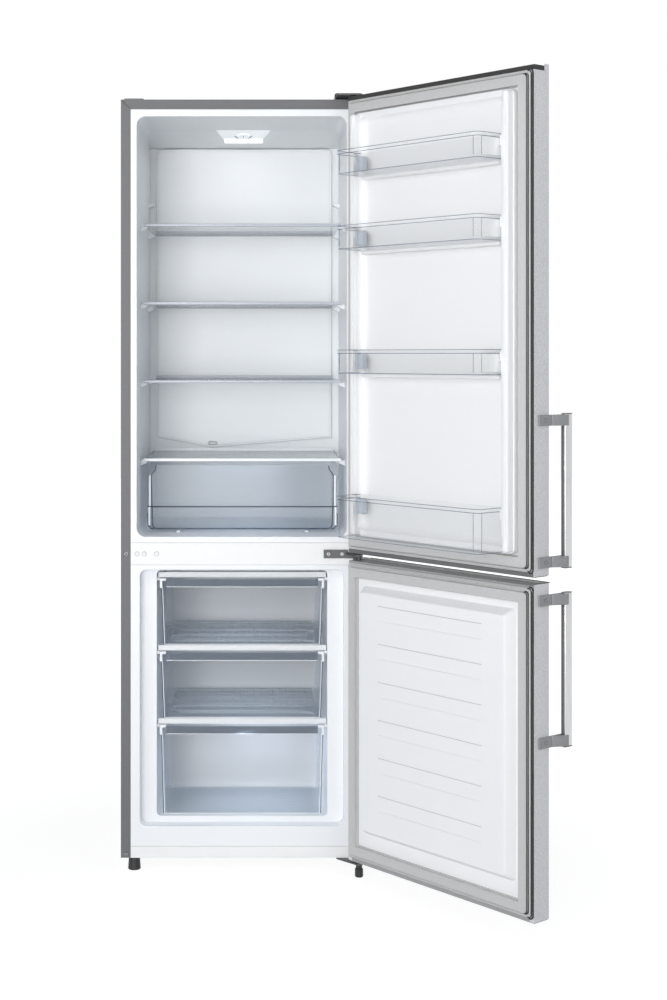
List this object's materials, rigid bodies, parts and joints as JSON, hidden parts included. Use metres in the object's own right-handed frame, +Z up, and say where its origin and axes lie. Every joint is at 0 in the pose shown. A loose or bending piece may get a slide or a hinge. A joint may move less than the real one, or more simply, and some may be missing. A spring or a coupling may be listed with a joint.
{
  "type": "fridge freezer",
  "caption": "Tall free-standing fridge over a freezer, with hinged doors, glass shelves, a crisper, door bins and clear freezer drawers.",
  "frame": {"origin": "on the floor, below the middle of the cabinet's front face", "axes": "+X to the right along the front, +Y into the cabinet, +Z up"},
  "size_m": [0.9474, 1.0023, 1.771],
  "materials": {
    "cabinet_paint": "satin grey paint",
    "back_steel": "galvanised sheet",
    "plinth_paint": "satin white paint",
    "liner_white": "satin formed sheet",
    "foam": "open cut foam",
    "seal_grey": "soft matte",
    "door_silver": "fine silver speckle",
    "black_plastic": "fine grain",
    "cover_grey": "fine grain",
    "handle_aluminium": "brushed and clear anodised",
    "bracket_grey": "satin",
    "hinge_steel": "dark satin paint",
    "screw_steel": "bright plated",
    "lamp_white": "satin",
    "lamp_clear": "frosted",
    "pipe_grey": "smooth",
    "evaporator_white": "white coated",
    "compressor_black": "gloss black paint",
    "drip_black": "smooth",
    "shelf_glass": "clear toughened",
    "trim_white": "satin",
    "clear_plastic": "clear"
  },
  "bodies": {
    "cabinet": {"side_panel_left": "cabinet_paint", "side_panel_right": "cabinet_paint", "top_panel": "cabinet_paint", "back_panel": "back_steel", "base_plate": "plinth_paint", "machine_tray": "back_steel", "cabinet_foam": "foam", "fridge_liner": "liner_white", "freezer_liner": "liner_white", "mullion_rail": "plinth_paint", "mullion_plugs": "cover_grey", "cabinet_screws": "screw_steel", "top_hinge": "hinge_steel", "top_hinge_cover": "black_plastic", "top_blank_cover": "cover_grey", "mid_hinge": "hinge_steel", "lower_hinge": "hinge_steel", "lamp_housing": "lamp_white", "lamp_lens": "lamp_clear", "drain_pipe": "pipe_grey", "freezer_evaporator": "evaporator_white", "compressor": "compressor_black", "compressor_grommets": "black_plastic", "drip_tray": "drip_black", "condenser": "compressor_black"},
    "fridge_door": {"fridge_door_skin": "door_silver", "fridge_door_caps": "black_plastic", "fridge_door_foam": "foam", "fridge_door_liner": "liner_white", "fridge_door_seal": "seal_grey", "fridge_door_handle_bar": "handle_aluminium", "fridge_door_handle_brackets": "bracket_grey"},
    "freezer_door": {"freezer_door_skin": "door_silver", "freezer_door_caps": "black_plastic", "freezer_door_foam": "foam", "freezer_door_liner": "liner_white", "freezer_door_seal": "seal_grey", "freezer_door_handle_bar": "handle_aluminium", "freezer_door_handle_brackets": "bracket_grey"},
    "door_bin_1": {"door_bin_1": "clear_plastic"},
    "door_bin_2": {"door_bin_2": "clear_plastic"},
    "door_bin_3": {"door_bin_3": "clear_plastic"},
    "bottle_bin": {"bottle_bin": "clear_plastic"},
    "crisper_drawer": {"crisper_drawer": "clear_plastic"},
    "freezer_drawer_1": {"freezer_drawer_1": "clear_plastic"},
    "freezer_drawer_2": {"freezer_drawer_2": "clear_plastic"},
    "freezer_drawer_3": {"freezer_drawer_3": "clear_plastic"},
    "foot_left": {"foot_left": "black_plastic"},
    "foot_right": {"foot_right": "black_plastic"},
    "rear_roller_left": {"rear_roller_left": "black_plastic"},
    "rear_roller_right": {"rear_roller_right": "black_plastic"},
    "thermostat_knob": {"thermostat_knob": "lamp_white"},
    "shelf_1": {"shelf_1_glass": "shelf_glass", "shelf_1_trim": "trim_white"},
    "shelf_2": {"shelf_2_glass": "shelf_glass", "shelf_2_trim": "trim_white"},
    "shelf_3": {"shelf_3_glass": "shelf_glass", "shelf_3_trim": "trim_white"},
    "crisper_cover": {"crisper_cover_glass": "shelf_glass", "crisper_cover_trim": "trim_white"}
  },
  "joints": [
    {"name": "fridge_door_swing", "type": "hinge", "parent": "cabinet", "child": "fridge_door", "pos_m": [0.2645, -0.035, 1.245], "axis": [0, 0, 1], "range_deg": [-129.5, 5]},
    {"name": "freezer_door_swing", "type": "hinge", "parent": "cabinet", "child": "freezer_door", "pos_m": [0.2645, -0.035, 0.379], "axis": [0, 0, 1], "range_deg": [-129.5, 5]},
    {"name": "shelf_1_slide", "type": "slide", "parent": "cabinet", "child": "shelf_1", "axis": [0, -1, 0], "range_m": [0, 0.18]},
    {"name": "shelf_2_slide", "type": "slide", "parent": "cabinet", "child": "shelf_2", "axis": [0, -1, 0], "range_m": [0, 0.18]},
    {"name": "shelf_3_slide", "type": "slide", "parent": "cabinet", "child": "shelf_3", "axis": [0, -1, 0], "range_m": [0, 0.18]},
    {"name": "crisper_cover_slide", "type": "slide", "parent": "cabinet", "child": "crisper_cover", "axis": [0, -1, 0], "range_m": [0, 0.18]},
    {"name": "crisper_drawer_slide", "type": "slide", "parent": "cabinet", "child": "crisper_drawer", "axis": [0, -1, 0], "range_m": [0, 0.18]},
    {"name": "freezer_drawer_1_slide", "type": "slide", "parent": "cabinet", "child": "freezer_drawer_1", "axis": [0, -1, 0], "range_m": [0, 0.21]},
    {"name": "freezer_drawer_2_slide", "type": "slide", "parent": "cabinet", "child": "freezer_drawer_2", "axis": [0, -1, 0], "range_m": [0, 0.21]},
    {"name": "freezer_drawer_3_slide", "type": "slide", "parent": "cabinet", "child": "freezer_drawer_3", "axis": [0, -1, 0], "range_m": [0, 0.21]},
    {"name": "door_bin_1_lift", "type": "slide", "parent": "fridge_door", "child": "door_bin_1", "axis": [0, 0, 1], "range_m": [0, 0.03]},
    {"name": "door_bin_2_lift", "type": "slide", "parent": "fridge_door", "child": "door_bin_2", "axis": [0, 0, 1], "range_m": [0, 0.03]},
    {"name": "door_bin_3_lift", "type": "slide", "parent": "fridge_door", "child": "door_bin_3", "axis": [0, 0, 1], "range_m": [0, 0.03]},
    {"name": "bottle_bin_lift", "type": "slide", "parent": "fridge_door", "child": "bottle_bin", "axis": [0, 0, 1], "range_m": [0, 0.03]},
    {"name": "thermostat_turn", "type": "hinge", "parent": "cabinet", "child": "thermostat_knob", "pos_m": [0, 0.268, 1.70842], "axis": [0, 0.235, 0.972], "range_deg": [-150, 150]},
    {"name": "foot_left_turn", "type": "hinge", "parent": "cabinet", "child": "foot_left", "pos_m": [-0.246, 0.024, 0.034], "axis": [0, 0, 1], "continuous": true},
    {"name": "foot_right_turn", "type": "hinge", "parent": "cabinet", "child": "foot_right", "pos_m": [0.2645, -0.035, 0.028], "axis": [0, 0, 1], "continuous": true},
    {"name": "rear_roller_left_spin", "type": "hinge", "parent": "cabinet", "child": "rear_roller_left", "pos_m": [-0.22, 0.475, 0.022], "axis": [1, 0, 0], "continuous": true},
    {"name": "rear_roller_right_spin", "type": "hinge", "parent": "cabinet", "child": "rear_roller_right", "pos_m": [0.22, 0.475, 0.022], "axis": [1, 0, 0], "continuous": true}
  ]
}
